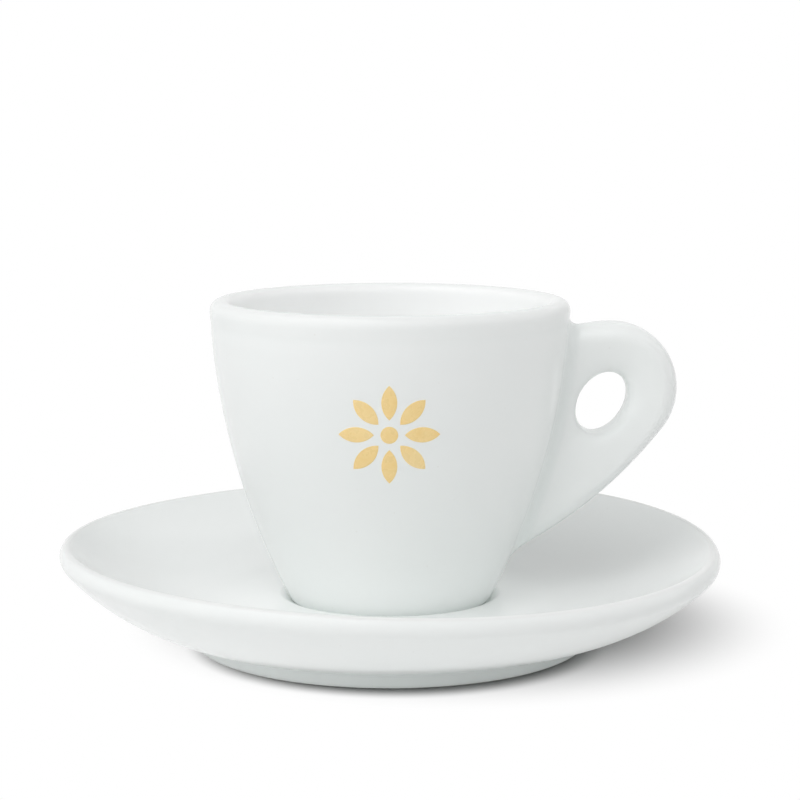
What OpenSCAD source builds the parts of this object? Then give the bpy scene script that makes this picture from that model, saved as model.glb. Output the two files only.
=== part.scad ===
// Espresso cup with an ear handle, standing in the well of its saucer.
// The origin is the centre of the saucer's foot on the table, +Z is up,
// the handle points along +X and the printed motif faces -Y. Millimetres.

/* [Saucer] */
// Outer diameter of the saucer
saucer_d = 120; // [100:1:150]
// Height of the lip above the table
saucer_h = 18.5; // [15:0.5:26]
// Radius of the rounded lip
saucer_lip_r = 0.9; // [0.5:0.1:1.5]
// Radius of the cheek, the fuller curve on the rim's outer side below the lip
saucer_cheek_r = 2.2; // [1.6:0.1:4.5]
// Angle above level at which the cheek passes into the lip
saucer_cheek_turn = 55; // [20:1:60]
// Bow radius of the underside, from the foot to the lip
saucer_bow_r = 40; // [32:1:80]
// Height of the dish floor above the table
dish_floor_h = 8.8; // [7:0.1:11]
// Width of the flat dish floor between the well and the curved wall
dish_floor_w = 9.5; // [4:0.5:18]
// Outer diameter of the foot ring on the table
saucer_foot_d = 72.4; // [60:0.2:82]
// Height of the foot ring's outer face
saucer_foot_h = 3; // [2:0.1:4]
// Width of the foot ring on the table
saucer_foot_w = 3; // [2:0.1:5]
// How far each face of the foot ring leans out towards its root
saucer_foot_draft = 0.8; // [0.3:0.1:1.5]
// Thickness of the base under the well
saucer_base_t = 4.3; // [3:0.1:6]
// Depth of the well that the cup stands in
well_depth = 1.3; // [0.6:0.1:2.5]
// Room between the cup's base and the well's edge
well_clear = 0.9; // [0.6:0.1:6]
// Rounding of the well's edge, a little less than the well's depth at most
well_edge_r = 1.2; // [0.2:0.1:1.5]

/* [Cup] */
// Outer diameter of the rim
cup_rim_d = 65; // [56:0.5:80]
// Height of the cup above its foot
cup_h = 55.2; // [48:0.2:70]
// Diameter of the wall's outer face where it would meet the foot plane
cup_base_d = 36.2; // [30:0.2:42]
// Bow radius of the wall's outer face
cup_bow_r = 129; // [90:1:220]
// Thickness of the wall at the lip, which is fully rounded
cup_lip_t = 4; // [2.8:0.1:5]
// Thickness of the wall at the level of the floor
cup_base_wall = 6.4; // [4:0.1:8]
// Bow radius of the wall's inner face
cup_inner_bow_r = 129; // [90:1:220]
// Thickness of the floor
cup_floor_t = 6.2; // [4:0.1:8]
// Rounding between the wall and the floor, inside
cup_inner_r = 10; // [5:0.5:12]
// Rounding of the base's outer edge
cup_edge_r = 1.2; // [0.8:0.1:4]
// Width of the foot's standing ring
cup_foot_w = 2.6; // [1.5:0.1:5]
// Depth of the hollow under the foot
cup_foot_recess = 0.9; // [0.4:0.1:2]

/* [Handle] */
// How far the handle stands out past the rim
handle_reach = 19.45; // [14:0.1:26]
// How far the handle's top lies below the rim
handle_drop = 4.05; // [2.5:0.05:8]
// Radius of the handle's outer loop
handle_loop_r = 12.05; // [10:0.05:15]
// Radius of the upper edge, between the cup and the loop
handle_top_arc_r = 30; // [24:1:60]
// Angle above level at which the loop passes into the upper edge
handle_top_turn = 91.5; // [85:0.5:110]
// Radius of the lower edge, between the loop and the cup
handle_arm_arc_r = 82; // [50:1:200]
// Angle below level at which the loop passes into the lower edge
handle_arm_turn = 37.5; // [25:0.5:50]
// Thickness of the loop
handle_t = 9.2; // [6:0.1:12]
// Thickness of the web between the finger hole and the cup
handle_web_t = 7.4; // [5:0.1:10]
// Length of the finger hole
hole_len = 11.7; // [8:0.1:14]
// Width of the finger hole
hole_w = 8.3; // [5:0.1:10]
// Lean of the finger hole's long axis from level
hole_lean = 60.5; // [40:0.5:90]
// How far the finger hole lies inwards of the loop's centre
hole_in = 1.65; // [0:0.1:3]
// How far the finger hole lies below the loop's centre
hole_down = 2.6; // [0:0.1:4]
// How far the section's thickest part lies from the hole's edge, as a share of the section's width
handle_crest_share = 0.68; // [0.4:0.02:0.76]
// Fullness of the handle's section: 1 is an ellipse, less is squarer
handle_section_share = 0.8; // [0.6:0.05:1]
// Gap of the slip joint between the handle and the wall
slip_gap = 0.04; // [0.02:0.01:0.1]

/* [Motif] */
// Number of petals in the printed rosette
petal_count = 8; // [5:1:12]
// Distance from the rosette's centre to the petals' tips
motif_r = 8.6; // [6:0.1:11]
// Gap between the petals and the dot in the middle
petal_gap = 1.1; // [0.6:0.1:2]
// Width of a petal
petal_w = 2.7; // [1.5:0.1:3.2]
// Diameter of the dot in the middle
motif_dot_d = 3; // [1.5:0.1:4]
// Height of the rosette's centre above the foot
motif_h = 35; // [25:0.5:42]
// Thickness of the fired print
print_t = 0.1; // [0.05:0.01:0.2]
// Gap between the print and the wall
print_gap = 0.02; // [0.01:0.01:0.05]

/* [Hidden] */
$fn = 180;

// Pieces in a large arc, in a small arc, around the handle's loop and around its section
bow_steps = 20;
edge_steps = 8;
loop_steps = 72;
section_steps = 16;

// Largest rounding of the well's edge, as a share of the well's depth
well_round_share = 0.95;

porcelain = [0.95, 0.96, 0.95];
gold = [0.91, 0.79, 0.55];

// Centre of a circle of radius big_r through p that holds the circle (c, r) and touches it inside,
// or touches it from outside where r is negative
function holding_centre(p, c, r, big_r) =
    let (
        gap = norm(c - p),
        along = (gap * gap + big_r * big_r - (big_r - r) * (big_r - r)) / (2 * gap),
        unit = (c - p) / gap
    )
    p + along * unit + sqrt(big_r * big_r - along * along) * [-unit[1], unit[0]];

// Direction from one point to another, in degrees
function bearing(from, to) = atan2(to[1] - from[1], to[0] - from[0]);

// Points along an arc, without its first one
function arc(c, r, from, to, steps) =
    [for (i = [1 : steps]) let (a = from + (to - from) * i / steps) c + r * [cos(a), sin(a)]];

// Distance from o along the unit vector d to a circle that o lies inside
function reach_to_circle(o, d, c, r) = -(o - c) * d + sqrt(pow((o - c) * d, 2) - (o - c) * (o - c) + r * r);

// Saucer outline
saucer_r = saucer_d / 2;
foot_r = saucer_foot_d / 2;
seat_z = dish_floor_h - well_depth;
base_under_z = seat_z - saucer_base_t;
well_r = cup_base_d / 2 + well_clear;
well_round_r = min(well_edge_r, well_round_share * well_depth);
well_edge_c = [well_r + well_round_r, dish_floor_h - well_round_r];
dish_floor_r = well_edge_c[0] + dish_floor_w;
cheek_to_lip = (saucer_cheek_r - saucer_lip_r) * [cos(saucer_cheek_turn), sin(saucer_cheek_turn)];
saucer_lip_c = [saucer_r - saucer_cheek_r + cheek_to_lip[0], saucer_h - saucer_lip_r];
saucer_cheek_c = saucer_lip_c - cheek_to_lip;
foot_top = [foot_r + saucer_foot_draft, saucer_foot_h];
under_c = holding_centre(foot_top, saucer_cheek_c, saucer_cheek_r, saucer_bow_r);
under_top = bearing(under_c, saucer_cheek_c);
dish_run = saucer_lip_c - [dish_floor_r, dish_floor_h];
dish_r = (dish_run * dish_run - saucer_lip_r * saucer_lip_r) / (2 * (saucer_h - dish_floor_h));
dish_c = [dish_floor_r, dish_floor_h + dish_r];
dish_top = bearing(dish_c, saucer_lip_c);

// Cup outline
seat_r = cup_base_d / 2;
rim_r = cup_rim_d / 2;
rim_z = seat_z + cup_h;
lip_r = cup_lip_t / 2;
lip_c = [rim_r - lip_r, rim_z - lip_r];
bow_c = holding_centre([seat_r, seat_z], lip_c, lip_r, cup_bow_r);
bow_top = bearing(bow_c, lip_c);
floor_z = seat_z + cup_floor_t;
inner_bow_c = holding_centre([wall_r(floor_z) - cup_base_wall, floor_z], lip_c, -lip_r, cup_inner_bow_r);
inner_top = bearing(inner_bow_c, lip_c);
cup_edge_c = inside_corner(bow_c, cup_bow_r, cup_edge_r, seat_z);
cup_inner_c = inside_corner(inner_bow_c, cup_inner_bow_r, cup_inner_r, floor_z);
cup_foot_in_r = cup_edge_c[0] - cup_foot_w;

// Centre of a rounding of radius r inside the corner of the level z and a bow about c
function inside_corner(c, bow_r, r, z) =
    [c[0] + sqrt(pow(bow_r - r, 2) - pow(z + r - c[1], 2)), z + r];

// Radius of the wall's outer face at a height
function wall_r(z) = bow_c[0] + sqrt(pow(cup_bow_r, 2) - pow(z - bow_c[1], 2));

// Outer face of the cup from the foot to the top of the lip, grown outwards
function cup_face(grow) =
    let (edge_top = bearing(bow_c, cup_edge_c))
    concat(
        [[cup_edge_c[0], seat_z - grow]],
        arc(cup_edge_c, cup_edge_r + grow, -90, edge_top, edge_steps),
        arc(bow_c, cup_bow_r + grow, edge_top, bow_top, bow_steps),
        arc(lip_c, lip_r + grow, bow_top, 90, edge_steps)
    );

// Handle outline
loop_c = [rim_r + handle_reach - handle_loop_r, rim_z - handle_drop - handle_loop_r];
top_way = [cos(handle_top_turn), sin(handle_top_turn)];
arm_way = [cos(handle_arm_turn), -sin(handle_arm_turn)];
top_c = loop_c - (handle_top_arc_r - handle_loop_r) * top_way;
arm_c = loop_c - (handle_arm_arc_r - handle_loop_r) * arm_way;
hole_c = loop_c - [hole_in, hole_down];
loop_from = bearing(hole_c, loop_c + handle_loop_r * arm_way);
loop_to = bearing(hole_c, loop_c + handle_loop_r * top_way);

// Distance from the finger hole's centre to its edge, at an angle
function hole_edge(a) =
    hole_len * hole_w / 2 / norm([hole_w * cos(a - hole_lean), hole_len * sin(a - hole_lean)]);

// Distance from the finger hole's centre to the handle's outer edge, which ends inside the cup
function handle_edge(a) =
    let (d = [cos(a), sin(a)])
    a >= loop_from && a <= loop_to
        ? reach_to_circle(hole_c, d, loop_c, handle_loop_r)
        : min(
            reach_to_circle(hole_c, d, top_c, handle_top_arc_r),
            reach_to_circle(hole_c, d, arm_c, handle_arm_arc_r),
            d[0] < 0 ? (seat_r - hole_c[0]) / d[0] : handle_arm_arc_r
        );

// Half the handle's thickness, which thins from the loop to the web by the cup
function handle_half_t(a) =
    let (web_share = pow(max(0, -cos(a)), 2))
    (handle_t + (handle_web_t - handle_t) * web_share) / 2;

// Rounded power of a sine or cosine, with its sign kept
function squared_off(v) = sign(v) * pow(abs(v), handle_section_share);

// One point of the handle's skin, at an angle about the hole and an angle about the section
function handle_point(a, turn) =
    let (
        inner = hole_edge(a),
        inwards = squared_off(cos(turn)),
        side_share = inwards > 0 ? handle_crest_share : 1 - handle_crest_share,
        out = inner + (handle_edge(a) - inner) * (handle_crest_share - inwards * side_share)
    )
    [hole_c[0] + out * cos(a), handle_half_t(a) * squared_off(sin(turn)), hole_c[1] + out * sin(a)];

module cup_solid(grow) {
    rotate_extrude()
        polygon(concat(cup_face(grow), [[0, rim_z + grow], [0, seat_z - grow]]));
}

module saucer() {
    foot_in_r = foot_r - saucer_foot_w;
    color(porcelain)
        rotate_extrude()
            polygon(concat(
                [[foot_in_r, 0], [foot_r, 0], foot_top],
                arc(under_c, saucer_bow_r, bearing(under_c, foot_top), under_top, bow_steps),
                arc(saucer_cheek_c, saucer_cheek_r, under_top, saucer_cheek_turn, edge_steps),
                arc(saucer_lip_c, saucer_lip_r, saucer_cheek_turn, 180 + dish_top, edge_steps),
                arc(dish_c, dish_r, dish_top, -90, bow_steps),
                [[well_edge_c[0], dish_floor_h]],
                arc(well_edge_c, well_round_r, 90, 180, edge_steps),
                [
                    [well_r, seat_z],
                    [0, seat_z],
                    [0, base_under_z],
                    [foot_in_r - saucer_foot_draft, base_under_z]
                ]
            ));
}

module cup_body() {
    inner_turn = bearing(inner_bow_c, cup_inner_c);
    color(porcelain)
        rotate_extrude()
            polygon(concat(
                [[cup_foot_in_r, seat_z]],
                cup_face(0),
                arc(lip_c, lip_r, 90, 180 + inner_top, edge_steps),
                arc(inner_bow_c, cup_inner_bow_r, inner_top, inner_turn, bow_steps),
                arc(cup_inner_c, cup_inner_r, inner_turn, -90, edge_steps),
                [
                    [0, floor_z],
                    [0, seat_z + cup_foot_recess],
                    [cup_foot_in_r - cup_foot_recess, seat_z + cup_foot_recess]
                ]
            ));
}

module handle_loop() {
    skin = [
        for (i = [0 : loop_steps - 1], j = [0 : section_steps - 1])
            handle_point(360 * i / loop_steps - 180, 360 * j / section_steps)
    ];
    faces = [
        for (i = [0 : loop_steps - 1], j = [0 : section_steps - 1])
            let (
                a = i * section_steps + j,
                b = i * section_steps + (j + 1) % section_steps,
                c = (i + 1) % loop_steps * section_steps + (j + 1) % section_steps,
                d = (i + 1) % loop_steps * section_steps + j
            )
            each [[a, b, c], [a, c, d]]
    ];
    polyhedron(skin, faces);
}

module cup_handle() {
    color(porcelain)
        difference() {
            handle_loop();
            cup_solid(slip_gap);
        }
}

module petal() {
    petal_len = motif_r - motif_dot_d / 2 - petal_gap;
    side_r = (petal_len * petal_len + petal_w * petal_w) / (4 * petal_w);
    translate([0, motif_r - petal_len / 2])
        intersection_for (side = [-1, 1])
            translate([side * (side_r - petal_w / 2), 0])
                circle(r = side_r);
}

module rosette() {
    circle(d = motif_dot_d);
    for (i = [0 : petal_count - 1])
        rotate(360 * i / petal_count)
            petal();
}

module cup_motif() {
    color(gold)
        intersection() {
            difference() {
                cup_solid(print_gap + print_t);
                cup_solid(print_gap);
            }
            translate([0, 0, seat_z + motif_h])
                rotate([90, 0, 0])
                    linear_extrude(cup_rim_d)
                        rosette();
        }
}

saucer();
cup_body();
cup_handle();
cup_motif();
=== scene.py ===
import math

import bpy
import numpy as np
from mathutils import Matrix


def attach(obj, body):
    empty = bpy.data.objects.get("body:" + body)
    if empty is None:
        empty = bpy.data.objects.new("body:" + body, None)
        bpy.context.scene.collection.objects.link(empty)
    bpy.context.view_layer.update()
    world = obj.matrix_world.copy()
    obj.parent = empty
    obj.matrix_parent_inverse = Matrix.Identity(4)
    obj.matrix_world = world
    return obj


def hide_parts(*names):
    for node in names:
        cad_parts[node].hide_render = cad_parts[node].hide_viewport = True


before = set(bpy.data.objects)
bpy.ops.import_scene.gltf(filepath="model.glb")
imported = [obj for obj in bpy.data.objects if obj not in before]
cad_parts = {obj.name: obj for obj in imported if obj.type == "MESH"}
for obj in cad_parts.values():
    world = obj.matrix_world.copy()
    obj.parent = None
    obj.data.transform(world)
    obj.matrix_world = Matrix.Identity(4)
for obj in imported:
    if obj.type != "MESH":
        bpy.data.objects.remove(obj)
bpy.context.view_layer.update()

# An espresso cup that stands in the well of its saucer: white glazed porcelain with a pale gold print.
# Metres, in the frame of the solids: +Z up, the handle along +X, the print facing -Y.
MM = 0.001

# Saucer
SAUCER_R = 60 * MM
SAUCER_H = 18.5 * MM
SAUCER_LIP_R = 0.9 * MM
SAUCER_CHEEK_R = 2.2 * MM
SAUCER_CHEEK_TURN = math.radians(55)
SAUCER_BOW_R = 40 * MM
DISH_FLOOR_H = 8.8 * MM
DISH_FLOOR_W = 9.3 * MM
SAUCER_FOOT_R = 36.2 * MM
SAUCER_FOOT_H = 3 * MM
SAUCER_FOOT_W = 3 * MM
SAUCER_FOOT_DRAFT = 0.8 * MM
FOOT_EDGE_H = 0.6 * MM
FOOT_EDGE_W = 1.4 * MM
BARE_H = 0.2 * MM
WELL_R = 17.5 * MM
WELL_SLOPE_W = 2.9 * MM
SEAT_Z = 7.5 * MM
SAUCER_UNDER_Z = 3.2 * MM
# The rim warped a little in the kiln: down in front on the right and up on the left and behind
WARP_TILT = 0.5 * MM
WARP_LEAN = 0.38 * MM
WARP_TWIST = 0.7 * MM

# Cup
RIM_R = 32.5 * MM
RIM_Z = 62.7 * MM
BASE_R = 18.1 * MM
WALL_BOW_R = 129 * MM
LIP_R = 2 * MM
BASE_WALL = 6.4 * MM
FLOOR_Z = 13.7 * MM
INNER_CORNER_R = 10 * MM
BASE_EDGE_R = 1.2 * MM
CUP_FOOT_W = 2.6 * MM
CUP_FOOT_RECESS = 0.9 * MM
# Soft groove in the glaze below the lip
GROOVE_DEPTH = 0.12 * MM
GROOVE_DROP = 4.4 * MM
GROOVE_W = 1.3 * MM

# Handle
HANDLE_REACH = 19.45 * MM
HANDLE_DROP = 4.05 * MM
LOOP_R = 12.05 * MM
TOP_ARC_R = 30 * MM
TOP_TURN = math.radians(91.5)
ARM_ARC_R = 82 * MM
ARM_TURN = math.radians(-37.5)
HANDLE_T = 9.2 * MM
WEB_T = 7.4 * MM
HOLE_LEN = 11.7 * MM
HOLE_W = 8.3 * MM
HOLE_LEAN = math.radians(60.5)
HOLE_IN = 1.65 * MM
HOLE_DOWN = 2.6 * MM
# The section is thickest on a crest near the outer edge, and above the hole its faces fall inwards
CREST_SHARE = 0.68
FACE_FALL_SHARE = 0.26
FACE_FALL_POWER = 1.3
OUTER_POWER = 2.2
INNER_POWER = 5
SLIP_FILLET = 2.2 * MM
# Past the fillet the ear's mesh runs on as a thin skirt, hidden in the wall
SKIRT_W = 0.5 * MM
SKIRT_DEPTH = 1.2 * MM
SKIRT_SUNK = 0.005 * MM

# Print
PETALS = 8
MOTIF_R = 8.6 * MM
PETAL_LEN = 6 * MM
PETAL_W = 2.7 * MM
DOT_R = 1.5 * MM
MOTIF_Z = SEAT_Z + 35 * MM
PRINT_T = 0.06 * MM
PRINT_SUNK = 0.02 * MM

# Meshes
GLAZE_BLUR = 0.25 * MM
INSIDE_LIGHT_BLEND = 2 * MM
LATHE_SEGMENTS = 480
LONGEST_STEP = 1.6 * MM
LARGEST_TURN = math.radians(5)
HANDLE_CELL = 0.4 * MM
HANDLE_MARGIN = 3 * MM
SETTLE_ROUNDS = 3
LEAST_SLOPE = 0.5
LEAST_SIZE = 0.001
BLUR_STEPS = 4
BLUR_WIDTHS = 4
ARC_STEPS = 60
WALL_STEPS = 200
SLOPE_STEPS = 24
FOOT_EDGE_STEPS = 12
PETAL_STEPS = 16
DOT_STEPS = 32

# Studio
CAMERA_AT = (1.8 * MM, -400 * MM, 102 * MM)
CAMERA_PITCH = math.radians(8.233)
CAMERA_LENS = 100.125
CAMERA_SENSOR = 36
LAMP_DISTANCE = 1.4
FLOOR_HALF = 3.0


def point(r, z):
    """A point of an outline: distance from the axis and height."""
    return np.array([r, z])


def way(angle):
    """Unit step at an angle."""
    return np.array([math.cos(angle), math.sin(angle)])


def bearing(start, end):
    """Angle at which one point sees another."""
    return math.atan2(end[1] - start[1], end[0] - start[0])


def arc(centre, radius, start, end, steps=ARC_STEPS):
    """Points along an arc between two angles."""
    angles = np.linspace(start, end, steps + 1)
    return centre + radius * np.stack([np.cos(angles), np.sin(angles)], 1)


def circle_holding(p, centre, radius, big_r):
    """Centre of the circle of radius big_r through p that touches a smaller circle inside itself,
    or beside itself where that circle's radius is negative."""
    gap = np.linalg.norm(centre - p)
    along = (gap**2 + big_r**2 - (big_r - radius) ** 2) / (2 * gap)
    unit = (centre - p) / gap
    return p + along * unit + math.sqrt(big_r**2 - along**2) * np.array([-unit[1], unit[0]])


def corner_centre(bow_c, bow_r, radius, z):
    """Centre of a rounding in the corner between the level z and a bow."""
    return point(bow_c[0] + math.sqrt((bow_r - radius) ** 2 - (z + radius - bow_c[1]) ** 2), z + radius)


# Outer wall of the cup, which the bowl, the handle and the print share
LIP_C = point(RIM_R - LIP_R, RIM_Z - LIP_R)
WALL_C = circle_holding(point(BASE_R, SEAT_Z), LIP_C, LIP_R, WALL_BOW_R)


def groove(z):
    """Depth of the soft groove below the lip."""
    return GROOVE_DEPTH * np.exp(-(((z - RIM_Z + GROOVE_DROP) / GROOVE_W) ** 2))


def wall_r(z):
    """Radius of the cup's outer face at a height."""
    return WALL_C[0] + np.sqrt(WALL_BOW_R**2 - (z - WALL_C[1]) ** 2) - groove(z)


def saucer_outline():
    """From the middle of the underside over the lip to the middle of the well."""
    foot_in = SAUCER_FOOT_R - SAUCER_FOOT_W
    quarter = arc(point(0, 1), 1, -math.pi / 2, 0, FOOT_EDGE_STEPS)
    foot_edge = quarter * point(FOOT_EDGE_W, FOOT_EDGE_H) + point(SAUCER_FOOT_R - FOOT_EDGE_W, 0)
    foot_top = point(SAUCER_FOOT_R + SAUCER_FOOT_DRAFT, SAUCER_FOOT_H)
    lip_to_cheek = (SAUCER_CHEEK_R - SAUCER_LIP_R) * way(SAUCER_CHEEK_TURN)
    cheek_c = point(SAUCER_R - SAUCER_CHEEK_R, SAUCER_H - SAUCER_LIP_R - lip_to_cheek[1])
    lip_c = cheek_c + lip_to_cheek
    under_c = circle_holding(foot_top, cheek_c, SAUCER_CHEEK_R, SAUCER_BOW_R)
    under_end = bearing(under_c, cheek_c)
    floor_end = point(WELL_R + WELL_SLOPE_W + DISH_FLOOR_W, DISH_FLOOR_H)
    run = lip_c - floor_end
    dish_r = (run @ run - SAUCER_LIP_R**2) / (2 * (SAUCER_H - DISH_FLOOR_H))
    dish_c = floor_end + point(0, dish_r)
    dish_end = bearing(dish_c, lip_c)
    fall = np.linspace(0, 1, SLOPE_STEPS + 1)
    well_slope = np.stack([
        WELL_R + WELL_SLOPE_W * (1 - fall),
        SEAT_Z + (DISH_FLOOR_H - SEAT_Z) * (1 + np.cos(math.pi * fall)) / 2,
    ], 1)
    return np.vstack([
        point(0, SAUCER_UNDER_Z),
        point(foot_in - SAUCER_FOOT_DRAFT, SAUCER_UNDER_Z),
        point(foot_in, 0),
        foot_edge,
        arc(under_c, SAUCER_BOW_R, bearing(under_c, foot_top), under_end),
        arc(cheek_c, SAUCER_CHEEK_R, under_end, SAUCER_CHEEK_TURN),
        arc(lip_c, SAUCER_LIP_R, SAUCER_CHEEK_TURN, math.pi + dish_end),
        arc(dish_c, dish_r, dish_end, -math.pi / 2),
        well_slope,
        point(0, SEAT_Z),
    ])


def cup_outline():
    """From the middle of the foot's hollow over the lip to the middle of the floor inside."""
    edge_c = corner_centre(WALL_C, WALL_BOW_R, BASE_EDGE_R, SEAT_Z)
    edge_end = bearing(WALL_C, edge_c)
    wall_end = bearing(WALL_C, LIP_C)
    inner_c = circle_holding(point(wall_r(FLOOR_Z) - BASE_WALL, FLOOR_Z), LIP_C, -LIP_R, WALL_BOW_R)
    inner_start = bearing(inner_c, LIP_C)
    floor_c = corner_centre(inner_c, WALL_BOW_R, INNER_CORNER_R, FLOOR_Z)
    inner_end = bearing(inner_c, floor_c)
    foot_in = edge_c[0] - CUP_FOOT_W
    wall = arc(WALL_C, WALL_BOW_R, edge_end, wall_end, WALL_STEPS)
    wall[:, 0] -= groove(wall[:, 1])
    return np.vstack([
        point(0, SEAT_Z + CUP_FOOT_RECESS),
        point(foot_in - CUP_FOOT_RECESS, SEAT_Z + CUP_FOOT_RECESS),
        point(foot_in, SEAT_Z),
        arc(edge_c, BASE_EDGE_R, -math.pi / 2, edge_end),
        wall,
        arc(LIP_C, LIP_R, wall_end, math.pi + inner_start),
        arc(inner_c, WALL_BOW_R, inner_start, inner_end),
        arc(floor_c, INNER_CORNER_R, inner_end, -math.pi / 2),
        point(0, FLOOR_Z),
    ])


def glazed(outline):
    """The outline with its corners rounded as a coat of glaze rounds them, in even short steps. It is
    mirrored past both ends, so that it stays level where it meets the axis."""
    flipped = outline * [-1, 1]
    whole = np.vstack([flipped[:0:-1], outline, flipped[-2::-1]])
    whole = whole[np.r_[True, np.hypot(*np.diff(whole, axis=0).T) > 0]]
    run = np.r_[0, np.cumsum(np.hypot(*np.diff(whole, axis=0).T))]
    step = GLAZE_BLUR / BLUR_STEPS
    even = np.arange(0, run[-1], step)
    reach = np.arange(-BLUR_STEPS * BLUR_WIDTHS, BLUR_STEPS * BLUR_WIDTHS + 1) * step
    kernel = np.exp(-0.5 * (reach / GLAZE_BLUR) ** 2)
    kernel /= kernel.sum()
    soft = np.stack([np.convolve(np.interp(even, run, whole[:, k]), kernel, "same") for k in (0, 1)], 1)
    third = run[-1] / 3
    middle = soft[(even > third) & (even < 2 * third)]
    return np.vstack([point(0, middle[0, 1]), middle[middle[:, 0] > step], point(0, middle[-1, 1])])


def bend(outline):
    """Signed bend at each point of an outline, in radians a metre: positive where it bulges."""
    steps = np.diff(outline, axis=0)
    heading = np.unwrap(np.arctan2(steps[:, 1], steps[:, 0]))
    turn = np.r_[0, np.diff(heading), 0]
    run = np.hypot(*steps.T)
    return turn / np.r_[run[0], (run[1:] + run[:-1]) / 2, run[-1]]


def thinned(outline):
    """Fewer points, closest where the outline turns, and the bend at each."""
    turn = bend(outline)
    run = np.hypot(*np.diff(outline, axis=0).T)
    cost = run / LONGEST_STEP + run * np.abs(turn[1:] + turn[:-1]) / 2 / LARGEST_TURN
    cost = np.r_[0, np.cumsum(cost)]
    at = np.linspace(0, cost[-1], int(cost[-1]) + 2)
    return (
        np.stack([np.interp(at, cost, outline[:, k]) for k in (0, 1)], 1),
        np.interp(at, cost, turn),
    )


def link(name, verts, faces):
    """A smooth mesh object in the scene."""
    mesh = bpy.data.meshes.new(name)
    mesh.from_pydata(verts, [], faces)
    mesh.polygons.foreach_set("use_smooth", [True] * len(mesh.polygons))
    mesh.update()
    piece = bpy.data.objects.new(name, mesh)
    bpy.context.scene.collection.objects.link(piece)
    return piece


def paint(piece, name, values):
    """Stores one number at each vertex for the material, which reads 0 where there is none."""
    attribute = piece.data.attributes.new(name, "FLOAT", "POINT")
    attribute.data.foreach_set("value", np.asarray(values, np.float32))


def lathe(name, outline, bare_below, painted_light_inside):
    """A closed solid of revolution. Its outline starts and ends on the axis, the standing ring below
    bare_below is wiped free of glaze, and past the lip the inside is painted whiter, as painted light
    that brightens it."""
    outline, turn = thinned(glazed(outline))
    rings = outline[1:-1]
    angles = np.linspace(0, 2 * math.pi, LATHE_SEGMENTS, endpoint=False)
    round_verts = np.stack([
        np.outer(rings[:, 0], np.cos(angles)),
        np.outer(rings[:, 0], np.sin(angles)),
        np.outer(rings[:, 1], np.ones_like(angles)),
    ], -1).reshape(-1, 3)
    verts = np.vstack([round_verts, [0, 0, outline[0, 1]], [0, 0, outline[-1, 1]]])
    first, last = len(round_verts), len(round_verts) + 1
    top = (len(rings) - 1) * LATHE_SEGMENTS
    faces = []
    for j in range(LATHE_SEGMENTS):
        k = (j + 1) % LATHE_SEGMENTS
        faces.append((first, k, j))
        faces.append((last, top + j, top + k))
        for i in range(0, top, LATHE_SEGMENTS):
            faces.append((i + j, i + k, i + LATHE_SEGMENTS + k, i + LATHE_SEGMENTS + j))
    piece = link(name, verts.tolist(), faces)
    # Radians a millimetre, positive in creases and negative on edges; the material paints both darker,
    # partly glaze and partly painted shade
    crease_bend = np.clip(-turn * MM, -1, 1)
    bare = np.clip((bare_below - rings[:, 1]) / GLAZE_BLUR, 0, 1)
    run = np.r_[0, np.cumsum(np.hypot(*np.diff(rings, axis=0).T))]
    # Painted light: past the lip the inside is painted whiter, so that it renders brighter
    inside_lit_share = painted_light_inside * np.clip((run - run[rings[:, 1].argmax()]) / INSIDE_LIGHT_BLEND, 0, 1)
    paint(piece, "crease_bend", np.r_[np.repeat(crease_bend[1:-1], LATHE_SEGMENTS), crease_bend[0], crease_bend[-1]])
    paint(piece, "bare", np.r_[np.repeat(bare, LATHE_SEGMENTS), 0, 0])
    paint(piece, "inside_lit_share", np.r_[np.repeat(inside_lit_share, LATHE_SEGMENTS), 0, painted_light_inside])
    return piece


def warped(piece):
    """Bends the saucer's rim out of true, and leaves all within the foot ring as it is."""
    verts = np.empty(len(piece.data.vertices) * 3)
    piece.data.vertices.foreach_get("co", verts)
    x, y = verts[0::3], verts[1::3]
    reach = np.clip((np.hypot(x, y) - SAUCER_FOOT_R) / (SAUCER_R - SAUCER_FOOT_R), 0, 1)
    turn = np.arctan2(y, x)
    lift = WARP_TILT * np.sin(turn) - WARP_LEAN * np.cos(turn) + WARP_TWIST * np.sin(2 * turn)
    verts[2::3] += reach**2 * lift
    piece.data.vertices.foreach_set("co", verts)
    piece.data.update()
    return piece


# Outline of the handle, in the X-Z plane
LOOP_C = point(RIM_R + HANDLE_REACH - LOOP_R, RIM_Z - HANDLE_DROP - LOOP_R)
TOP_C = LOOP_C - (TOP_ARC_R - LOOP_R) * way(TOP_TURN)
ARM_C = LOOP_C - (ARM_ARC_R - LOOP_R) * way(ARM_TURN)
HOLE_C = LOOP_C - point(HOLE_IN, HOLE_DOWN)
LOOP_START = bearing(HOLE_C, LOOP_C + LOOP_R * way(ARM_TURN))
LOOP_END = bearing(HOLE_C, LOOP_C + LOOP_R * way(TOP_TURN))


def reach_to_circle(angle, centre, radius):
    """Distance from the finger hole's centre to a circle around it."""
    gap = HOLE_C - centre
    along = gap[0] * np.cos(angle) + gap[1] * np.sin(angle)
    return -along + np.sqrt(along**2 - gap @ gap + radius**2)


def handle_edges(angle):
    """Distances from the finger hole's centre to its edge and to the handle's outer edge."""
    inner = HOLE_LEN * HOLE_W / 2 / np.hypot(
        HOLE_W * np.cos(angle - HOLE_LEAN), HOLE_LEN * np.sin(angle - HOLE_LEAN)
    )
    on_loop = (angle >= LOOP_START) & (angle <= LOOP_END)
    arms = np.minimum(reach_to_circle(angle, TOP_C, TOP_ARC_R), reach_to_circle(angle, ARM_C, ARM_ARC_R))
    return inner, np.where(on_loop, reach_to_circle(angle, LOOP_C, LOOP_R), arms)


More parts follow.
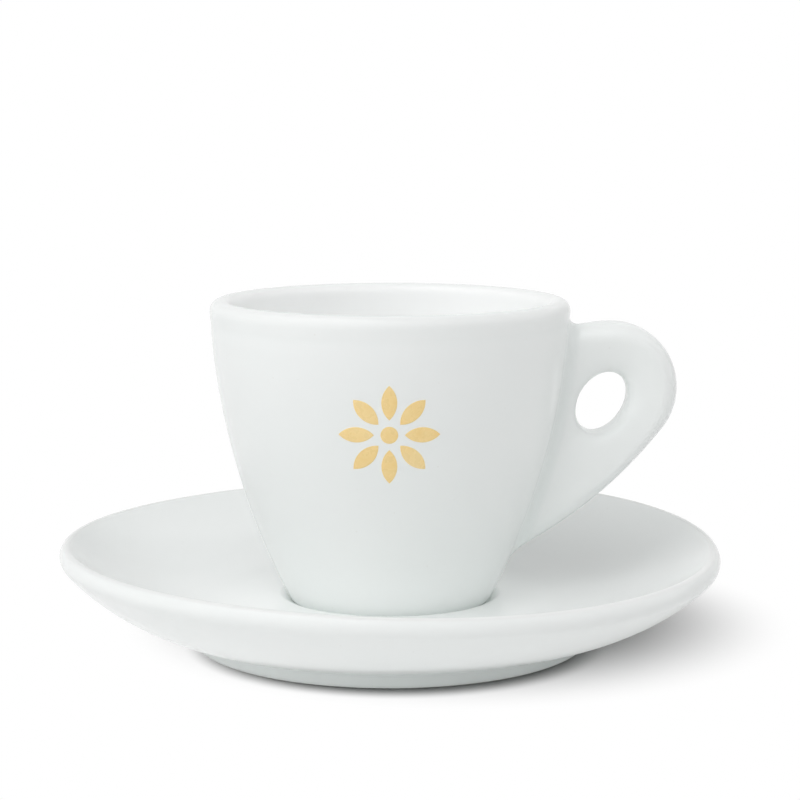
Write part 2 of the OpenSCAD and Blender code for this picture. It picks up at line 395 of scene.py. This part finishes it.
def handle_distance(p):
    """About the distance to the ear, less than 0 inside it: its section is two half ovals that share
    a crest, a round one outside and a squarer one towards the hole."""
    x, z = p[..., 0] - HOLE_C[0], p[..., 2] - HOLE_C[1]
    angle = np.arctan2(z, x)
    inner, outer = handle_edges(angle)
    past_crest = np.hypot(x, z) - inner - CREST_SHARE * (outer - inner)
    outside = past_crest > 0
    power = np.where(outside, OUTER_POWER, INNER_POWER)
    width = np.where(outside, 1 - CREST_SHARE, CREST_SHARE) * (outer - inner)
    across = np.abs(past_crest) / width
    web_share = np.maximum(0, -np.cos(angle)) ** 2
    half_t = (HANDLE_T + (WEB_T - HANDLE_T) * web_share) / 2
    fall_share = np.where(outside, 0, FACE_FALL_SHARE) * (1 + np.sin(angle)) / 2
    half_t = half_t * (1 - fall_share * np.minimum(across, 1) ** FACE_FALL_POWER)
    aside = np.abs(p[..., 1]) / half_t
    size = np.maximum((across**power + aside**power) ** (1 / power), LEAST_SIZE)
    slope = np.hypot(across ** (power - 1) / width, aside ** (power - 1) / half_t)
    return (size - 1) / (slope * size ** (1 - power))


def wall_distance(p):
    """Distance to the cup's outer face, less than 0 inside it."""
    r = np.hypot(p[..., 0], p[..., 1])
    return np.hypot(r - WALL_C[0], p[..., 2] - WALL_C[1]) - WALL_BOW_R + groove(p[..., 2])


def handle_field(p):
    """The ear joined to the wall by a fillet of slip, with a thin skirt sunk in the wall."""
    ear = handle_distance(p)
    wall = wall_distance(p) + SKIRT_SUNK
    corner = np.hypot(np.maximum(SLIP_FILLET - ear, 0), np.maximum(SLIP_FILLET - wall, 0))
    joined = np.maximum(SLIP_FILLET, np.minimum(ear, wall)) - corner
    return np.maximum(np.maximum(joined, -wall - SKIRT_DEPTH), ear - (SLIP_FILLET + SKIRT_W))


def slope_of(field, p, step):
    """Gradient of a field."""
    nudges = np.eye(3) * step
    return np.stack([(field(p + n) - field(p - n)) / (2 * step) for n in nudges], -1)


def surface_net(field, low, high, step):
    """Vertices and quads of the surface where a field is 0, with one vertex in each cell it crosses."""
    axes = [np.arange(a, b + step, step) for a, b in zip(low, high)]
    grid = np.stack(np.meshgrid(*axes, indexing="ij"), -1)
    value = field(grid)
    cells = tuple(n - 1 for n in value.shape)
    total, count = np.zeros(cells + (3,)), np.zeros(cells)
    for axis in range(3):
        others = [k for k in range(3) if k != axis]
        for shift in ((0, 0), (0, 1), (1, 0), (1, 1)):
            at = [slice(None, -1)] * 3
            for k, s in zip(others, shift):
                at[k] = slice(s, s + cells[k])
            end = list(at)
            end[axis] = slice(1, None)
            v0, v1 = value[tuple(at)], value[tuple(end)]
            crosses = (v0 < 0) != (v1 < 0)
            share = np.where(crosses, v0 / np.where(crosses, v0 - v1, 1), 0)
            place = grid[tuple(at)] + share[..., None] * (grid[tuple(end)] - grid[tuple(at)])
            total += place * crosses[..., None]
            count += crosses
    used = count > 0
    number = np.full(cells, -1)
    number[used] = np.arange(used.sum())
    faces = []
    for axis in range(3):
        a, b = (axis + 1) % 3, (axis + 2) % 3
        inside = value < 0
        before = np.take(inside, range(cells[axis]), axis)
        after = np.take(inside, range(1, cells[axis] + 1), axis)
        for flip, crossing in ((False, before & ~after), (True, ~before & after)):
            i = np.argwhere(crossing)
            i = i[(i[:, a] > 0) & (i[:, b] > 0) & (i[:, a] < cells[a]) & (i[:, b] < cells[b])]
            ring = []
            for da, db in ((1, 1), (0, 1), (0, 0), (1, 0)):
                j = i.copy()
                j[:, a] -= da
                j[:, b] -= db
                ring.append(number[tuple(j.T)])
            quads = np.stack(ring[::-1] if flip else ring, 1)
            faces.append(quads)
    return total[used] / count[used][:, None], np.vstack(faces)


def handle_mesh():
    """The ear and its fillet, cut from a grid and then settled onto the true surface."""
    half_t = HANDLE_T / 2 + HANDLE_MARGIN
    low = (BASE_R - HANDLE_MARGIN, -half_t, SEAT_Z + HANDLE_MARGIN)
    high = (RIM_R + HANDLE_REACH + HANDLE_MARGIN, half_t, RIM_Z)
    nudge = HANDLE_CELL / 20
    verts, faces = surface_net(handle_field, low, high, HANDLE_CELL)
    for _ in range(SETTLE_ROUNDS):
        slope = slope_of(handle_field, verts, nudge)
        size = np.maximum((slope**2).sum(-1, keepdims=True), LEAST_SLOPE**2)
        verts = verts - handle_field(verts)[:, None] * slope / size
    piece = link("cup_ear", verts.tolist(), faces.tolist())
    # Marks the fillet's crease, which the material paints darker: partly glaze pooling, partly painted
    # shade
    near_ear = np.maximum(SLIP_FILLET - handle_distance(verts), 0)
    near_wall = np.maximum(SLIP_FILLET - wall_distance(verts), 0)
    paint(piece, "crease_bend", np.sqrt(np.clip(near_ear * near_wall / SLIP_FILLET**2, 0, 1)))
    return piece


def petal_outline(turn):
    """Two arcs that meet in points, at an angle about the middle of the rosette."""
    side_r = (PETAL_LEN**2 + PETAL_W**2) / (4 * PETAL_W)
    half = math.asin(PETAL_LEN / 2 / side_r)
    right = arc(point(PETAL_W / 2 - side_r, 0), side_r, -half, half, PETAL_STEPS)[:-1]
    leaf = np.vstack([right, -right]) + point(0, MOTIF_R - PETAL_LEN / 2)
    spin = np.array([[math.cos(turn), math.sin(turn)], [-math.sin(turn), math.cos(turn)]])
    return leaf @ spin


def on_wall(places, proud):
    """Points of the print's plane, carried back onto the front of the cup and out from it."""
    z = MOTIF_Z + places[:, 1]
    reach = np.hypot(wall_r(z) - WALL_C[0], z - WALL_C[1])
    r = WALL_C[0] + (wall_r(z) - WALL_C[0]) * (1 + proud / reach)
    return np.stack([places[:, 0], -np.sqrt(r**2 - places[:, 0] ** 2), z], 1)


def rosette():
    """Thin raised pads of enamel: petals round a dot. Each pad has layers, which are a share of its
    outline at a height above the wall, and a crown in the middle."""
    layers = (
        (1.0, -PRINT_SUNK),
        (1.0, 0.4 * PRINT_T),
        (0.97, 0.8 * PRINT_T),
        (0.92, PRINT_T),
        (0.6, PRINT_T),
        (0.3, PRINT_T),
    )
    outlines = [petal_outline(2 * math.pi * i / PETALS) for i in range(PETALS)]
    outlines.append(arc(point(0, 0), DOT_R, 0, 2 * math.pi, DOT_STEPS)[:-1])
    verts, faces = [], []
    for outline in outlines:
        middle, count, start = outline.mean(0), len(outline), len(verts)
        for share, proud in layers:
            verts.extend(on_wall(middle + share * (outline - middle), proud).tolist())
        verts.extend(on_wall(middle[None], PRINT_T).tolist())
        verts.extend(on_wall(middle[None], -PRINT_SUNK).tolist())
        crown, root = len(verts) - 2, len(verts) - 1
        for j in range(count):
            k = (j + 1) % count
            for i in range(len(layers) - 1):
                a, b = start + i * count, start + (i + 1) * count
                faces.append((a + j, a + k, b + k, b + j))
            last = start + (len(layers) - 1) * count
            faces.append((last + j, last + k, crown))
            faces.append((start + k, start + j, root))
    return link("cup_rosette", verts, faces)


def node(tree, kind, inputs=None, **settings):
    """Adds a node, sets its settings, and sets or links its inputs."""
    made = tree.nodes.new(kind)
    for name, value in settings.items():
        setattr(made, name, value)
    for name, value in (inputs or {}).items():
        if isinstance(value, bpy.types.NodeSocket):
            tree.links.new(value, made.inputs[name])
        else:
            made.inputs[name].default_value = value
    return made


def maths(tree, operation, first, second):
    """Result of a sum, product or comparison of two values."""
    return node(tree, "ShaderNodeMath", {0: first, 1: second}, operation=operation).outputs["Value"]


def object_place(tree):
    """Place on the piece, in metres."""
    return node(tree, "ShaderNodeTexCoord").outputs["Object"]


def noise(tree, place, scale, detail):
    """Soft noise from 0 to 1."""
    made = node(tree, "ShaderNodeTexNoise", {"Vector": place, "Scale": scale, "Detail": detail})
    return made.outputs["Fac"]


def painted(tree, name):
    """The number that paint stored."""
    return node(tree, "ShaderNodeAttribute", attribute_name=name).outputs["Fac"]


def grey(level):
    return (level, level, level)


def mix_colour(tree, share, first, second):
    """Colour between two, where share is a socket."""
    made = tree.nodes.new("ShaderNodeMix")
    made.data_type = "RGBA"
    tree.links.new(share, made.inputs[0])
    for k, colour in ((6, first), (7, second)):
        if isinstance(colour, bpy.types.NodeSocket):
            tree.links.new(colour, made.inputs[k])
        else:
            made.inputs[k].default_value = (*colour, 1)
    return made.outputs[2]


def remap(tree, value, old_low, old_high, low, high):
    """Carries one range to another, and stops at its ends."""
    made = node(tree, "ShaderNodeMapRange", {
        "Value": value, "From Min": old_low, "From Max": old_high, "To Min": low, "To Max": high,
    })
    return made.outputs["Result"]


def share_of(tree, value, start, end):
    """Rises from 0 to 1 between two values."""
    return remap(tree, value, start, end, 0, 1)


def soft_step(tree, value, start, end):
    """Rises from 0 to 1 with soft ends."""
    made = node(tree, "ShaderNodeMapRange", {
        "Value": value, "From Min": start, "From Max": end,
    }, interpolation_type="SMOOTHSTEP")
    return made.outputs["Result"]


def new_material(name):
    """A material, its empty node tree and its output."""
    material = bpy.data.materials.new(name)
    material.use_nodes = True
    tree = material.node_tree
    tree.nodes.clear()
    out = tree.nodes.new("ShaderNodeOutputMaterial")
    return material, tree, out


def porcelain():
    """White porcelain under a clear soft glaze, bare on the standing rings. Creases are darker and
    greener, partly where the glaze pools and partly painted shade; edges are darker, partly thin glaze
    and partly painted shade that dims their highlights; and the inside of the cup is painted whiter, as
    painted light."""
    body = (0.905, 0.924, 0.917)
    cool = (0.894, 0.917, 0.909)
    pooled_and_shaded = (0.85, 0.885, 0.875)
    thin_glaze_and_shade = (0.868, 0.882, 0.874)
    painted_light_inside = (0.962, 0.971, 0.968)
    biscuit = (0.72, 0.69, 0.64)
    speck = (0.55, 0.5, 0.43)
    edge_bend = (-0.46, -0.6)
    speck_size = (0.03, 0.05)
    speck_share = 0.12
    glaze_rough = (0.18, 0.25)
    biscuit_rough = 0.6
    material, tree, out = new_material("white_porcelain")
    place = object_place(tree)
    crease_bend = painted(tree, "crease_bend")
    bare = painted(tree, "bare")
    inside_lit_share = painted(tree, "inside_lit_share")
    clouds = noise(tree, place, scale=45, detail=3)
    peel = noise(tree, place, scale=420, detail=2)
    grain = noise(tree, place, scale=4200, detail=4)
    dots = node(tree, "ShaderNodeTexVoronoi", {"Vector": place, "Scale": 260}).outputs["Distance"]
    colour = mix_colour(tree, share_of(tree, clouds, 0.35, 0.65), body, cool)
    # Creases darker and greener: partly glaze pooling, partly painted shade
    colour = mix_colour(tree, share_of(tree, crease_bend, 0, 1), colour, pooled_and_shaded)
    # Edges darker: partly thin glaze, partly painted shade that dims the highlights on the lips
    colour = mix_colour(tree, share_of(tree, crease_bend, *edge_bend), colour, thin_glaze_and_shade)
    # Painted light: the inside of the cup is painted whiter
    colour = mix_colour(tree, inside_lit_share, colour, painted_light_inside)
    colour = mix_colour(tree, remap(tree, dots, *speck_size, speck_share, 0), colour, speck)
    colour = mix_colour(tree, bare, colour, mix_colour(tree, grain, biscuit, thin_glaze_and_shade))
    glossy = remap(tree, clouds, 0.3, 0.7, *glaze_rough)
    rough = maths(tree, "ADD", glossy, remap(tree, bare, 0, 1, 0, biscuit_rough))
    waves = node(tree, "ShaderNodeBump", {"Height": peel, "Strength": 0.12, "Distance": 0.02 * MM})
    chalk = node(tree, "ShaderNodeBump", {
        "Height": grain, "Strength": bare, "Distance": 0.03 * MM, "Normal": waves.outputs["Normal"],
    })
    shader = node(tree, "ShaderNodeBsdfPrincipled", {
        "Base Color": colour, "Roughness": rough, "IOR": 1.5, "Specular IOR Level": 0.2,
        "Normal": chalk.outputs["Normal"],
    })
    tree.links.new(shader.outputs["BSDF"], out.inputs["Surface"])
    return material


def gold_enamel():
    """Pale gold enamel, a little uneven where it was fired on."""
    pale = (0.965, 0.725, 0.335)
    deep = (0.94, 0.675, 0.275)
    worn = (0.97, 0.775, 0.42)
    worn_share = 0.5
    enamel_rough = (0.22, 0.34)
    material, tree, out = new_material("gold_enamel")
    place = object_place(tree)
    mottle = noise(tree, place, scale=700, detail=4)
    clouds = noise(tree, place, scale=160, detail=2)
    colour = mix_colour(tree, share_of(tree, mottle, 0.3, 0.7), pale, deep)
    colour = mix_colour(tree, remap(tree, clouds, 0.45, 0.75, 0, worn_share), colour, worn)
    bump = node(tree, "ShaderNodeBump", {"Height": mottle, "Strength": 0.25, "Distance": 0.02 * MM})
    shader = node(tree, "ShaderNodeBsdfPrincipled", {
        "Base Color": colour, "Roughness": remap(tree, mottle, 0.3, 0.7, *enamel_rough), "IOR": 1.5,
        "Normal": bump.outputs["Normal"],
    })
    tree.links.new(shader.outputs["BSDF"], out.inputs["Surface"])
    return material


def seen_rays(tree):
    """1 for rays of the camera and for reflections, so that they see a white background."""
    path = node(tree, "ShaderNodeLightPath")
    some = maths(tree, "MAXIMUM", path.outputs["Is Camera Ray"], path.outputs["Is Glossy Ray"])
    return maths(tree, "MAXIMUM", some, path.outputs["Is Transmission Ray"])


def past_circle(tree, place, centre, start, end):
    """Rises from 0 to 1 between two circles on the floor."""
    apart = node(tree, "ShaderNodeVectorMath", {0: place, 1: (*centre, 0)}, operation="DISTANCE")
    return soft_step(tree, apart.outputs["Value"], start, end)


def studio_floor():
    """A table that is pale to the light, and to the camera takes the shadow inside two circles and is
    the white background elsewhere. Inside them the camera sees a darker grey table: painted shade that
    deepens the real shadow. The foot ring's shadow ends close to it, and the rim's lies to the right and
    behind, away from the brighter lamps."""
    # Circles where the painted shadow ends: one round the foot ring, one round a point right of and
    # behind the middle
    ring_at = (1.2 * MM, -3.2 * MM)
    ring_start = 32.4 * MM
    ring_end = 39 * MM
    rim_at = (12.7 * MM, 15 * MM)
    rim_start = 25 * MM
    rim_end = 64 * MM
    material, tree, out = new_material("studio_floor")
    place = object_place(tree)
    seen = seen_rays(tree)
    paper = noise(tree, place, scale=30, detail=2)
    pale = mix_colour(tree, paper, grey(0.94), grey(0.96))
    # Painted shade: the grey the camera sees inside the circles, darker than the pale table that lights
    # the set
    painted_shadow_grey = mix_colour(tree, paper, grey(0.27), grey(0.28))
    table = node(tree, "ShaderNodeBsdfDiffuse", {"Color": mix_colour(tree, seen, pale, painted_shadow_grey)})
    white = node(tree, "ShaderNodeEmission", {"Color": (1, 1, 1, 1), "Strength": 1})
    past_ring = past_circle(tree, place, ring_at, ring_start, ring_end)
    past_rim = past_circle(tree, place, rim_at, rim_start, rim_end)
    past_both = maths(tree, "MULTIPLY", past_ring, past_rim)
    both = node(tree, "ShaderNodeMixShader", {
        "Fac": maths(tree, "MULTIPLY", past_both, seen),
        1: table.outputs["BSDF"],
        2: white.outputs["Emission"],
    })
    tree.links.new(both.outputs["Shader"], out.inputs["Surface"])
    corners = [(x * FLOOR_HALF, y * FLOOR_HALF, 0) for x, y in ((-1, -1), (1, -1), (1, 1), (-1, 1))]
    floor = link("studio_floor", corners, [(0, 1, 2, 3)])
    floor.data.materials.append(material)


def white_world(above, left, right, front, behind):
    """White to the camera, and a soft room round the set, with its own brightness on each side, that
    passes into the brightness above between two heights of the sky."""
    low_sky = 0.3
    high_sky = 0.8
    world = bpy.data.worlds.new("white_world")
    bpy.context.scene.world = world
    world.use_nodes = True
    tree = world.node_tree
    tree.nodes.clear()
    heading = node(tree, "ShaderNodeTexCoord").outputs["Generated"]
    axes = node(tree, "ShaderNodeSeparateXYZ", {"Vector": heading}).outputs
    x, y, z = axes["X"], axes["Y"], axes["Z"]
    square_x = maths(tree, "MULTIPLY", x, x)
    square_y = maths(tree, "MULTIPLY", y, y)
    sideways = maths(tree, "DIVIDE", square_x, maths(tree, "ADD", square_x, square_y))
    side = remap(tree, maths(tree, "GREATER_THAN", x, 0), 0, 1, left, right)
    depth = remap(tree, maths(tree, "GREATER_THAN", y, 0), 0, 1, front, behind)
    horizon = remap(tree, sideways, 0, 1, depth, side)
    room = remap(tree, z, low_sky, high_sky, horizon, above)
    light = node(tree, "ShaderNodeBackground", {
        "Color": (1, 1, 1, 1), "Strength": remap(tree, seen_rays(tree), 0, 1, room, 1),
    })
    out = tree.nodes.new("ShaderNodeOutputWorld")
    tree.links.new(light.outputs["Background"], out.inputs["Surface"])


def softbox(name, turn, rise, size, power):
    """A square lamp that faces the set, turned from the front towards the right, in degrees."""
    lamp = bpy.data.lights.new(name, "AREA")
    lamp.size = size
    lamp.energy = power
    holder = bpy.data.objects.new(name, lamp)
    bpy.context.scene.collection.objects.link(holder)
    out = LAMP_DISTANCE * math.cos(math.radians(rise))
    holder.location = (
        out * math.sin(math.radians(turn)),
        -out * math.cos(math.radians(turn)),
        LAMP_DISTANCE * math.sin(math.radians(rise)),
    )
    holder.rotation_mode = "QUATERNION"
    holder.rotation_quaternion = (-holder.location).to_track_quat("-Z", "Y")


def camera():
    """The photograph's view: from in front, a little above, through a long lens."""
    data = bpy.data.cameras.new("camera")
    data.sensor_width = CAMERA_SENSOR
    data.lens = CAMERA_LENS
    holder = bpy.data.objects.new("camera", data)
    bpy.context.scene.collection.objects.link(holder)
    holder.location = CAMERA_AT
    holder.rotation_euler = (math.pi / 2 - CAMERA_PITCH, 0, 0)
    bpy.context.scene.camera = holder


def dress(piece, body, solid, material):
    """Puts a finished piece in place of a solid, on the body that moves it."""
    piece.data.materials.append(material)
    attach(piece, body)
    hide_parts(solid)


bpy.context.scene.view_settings.view_transform = "Standard"
# White walls go on lighting each other
bpy.context.scene.cycles.max_bounces = 48
bpy.context.scene.cycles.diffuse_bounces = 32
camera()
studio_floor()
white_world(above=0, left=0.9, right=0, front=0.42, behind=0.36)
softbox("key", turn=-45, rise=65, size=1.0, power=5.0)
softbox("left_top", turn=-90, rise=60, size=1.0, power=3.2)
softbox("front", turn=0, rise=45, size=1.4, power=5.4)
softbox("left_front", turn=-45, rise=25, size=1.4, power=2.7)
softbox("right", turn=90, rise=30, size=1.4, power=5.7)
softbox("right_back", turn=135, rise=45, size=1.4, power=2.8)

white = porcelain()
saucer = warped(lathe("saucer_dish", saucer_outline(), bare_below=BARE_H, painted_light_inside=0))
dress(saucer, "saucer", "saucer", white)
bowl = lathe("cup_bowl", cup_outline(), bare_below=SEAT_Z + BARE_H, painted_light_inside=1)
dress(bowl, "cup", "cup_body", white)
dress(handle_mesh(), "cup", "cup_handle", white)
dress(rosette(), "cup", "cup_motif", gold_enamel())
